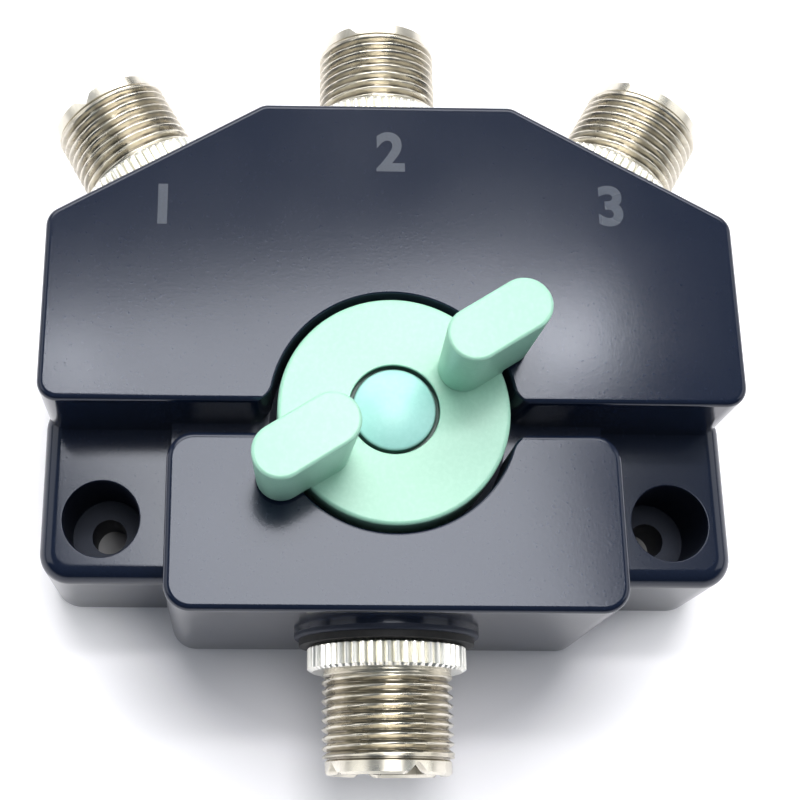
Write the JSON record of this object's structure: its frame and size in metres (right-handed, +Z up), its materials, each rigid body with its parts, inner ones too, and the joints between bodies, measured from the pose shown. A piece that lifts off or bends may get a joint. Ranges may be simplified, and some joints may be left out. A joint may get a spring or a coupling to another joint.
{
  "type": "coaxial antenna switch",
  "caption": "Cast metal coaxial antenna switch with a two-wing knob that joins the front threaded port to a rear one.",
  "frame": {"origin": "where the knob's axis meets the base plane", "axes": "+Z up along the knob's axis, +Y to the rear ports, +X to the right seen from the front"},
  "size_m": [0.0882, 0.0977, 0.0468],
  "materials": {
    "body_paint": "satin",
    "cover_paint": "satin",
    "steel": "satin",
    "brass": "satin",
    "nickel": "polished",
    "silver": "satin",
    "gasket_rubber": "matte",
    "insulator_plastic": "matte",
    "insulator_board": "satin",
    "knob_plastic": "gloss",
    "cap_plastic": "gloss"
  },
  "bodies": {
    "base": {"body_casting": "body_paint", "base_cover": "cover_paint", "cover_screws": "steel", "shaft_bushing": "brass", "detent_spring": "steel", "detent_ball": "steel", "common_gasket": "gasket_rubber", "common_ring": "nickel", "common_shell": "nickel", "common_insulator": "insulator_plastic", "common_contact": "silver", "port_1_gasket": "gasket_rubber", "port_1_ring": "nickel", "port_1_shell": "nickel", "port_1_insulator": "insulator_plastic", "port_1_contact": "silver", "port_2_gasket": "gasket_rubber", "port_2_ring": "nickel", "port_2_shell": "nickel", "port_2_insulator": "insulator_plastic", "port_2_contact": "silver", "port_3_gasket": "gasket_rubber", "port_3_ring": "nickel", "port_3_shell": "nickel", "port_3_insulator": "insulator_plastic", "port_3_contact": "silver"},
    "knob": {"knob": "knob_plastic", "knob_cap": "cap_plastic", "knob_screw": "steel", "shaft": "brass", "rotor_disc": "insulator_board", "rotor_blade": "silver", "rotor_rivets": "brass"}
  },
  "joints": [
    {"name": "knob_turn", "type": "hinge", "parent": "base", "child": "knob", "pos_m": [0, 0, 0.0234], "axis": [0, 0, 1], "range_deg": [0, 116]}
  ]
}
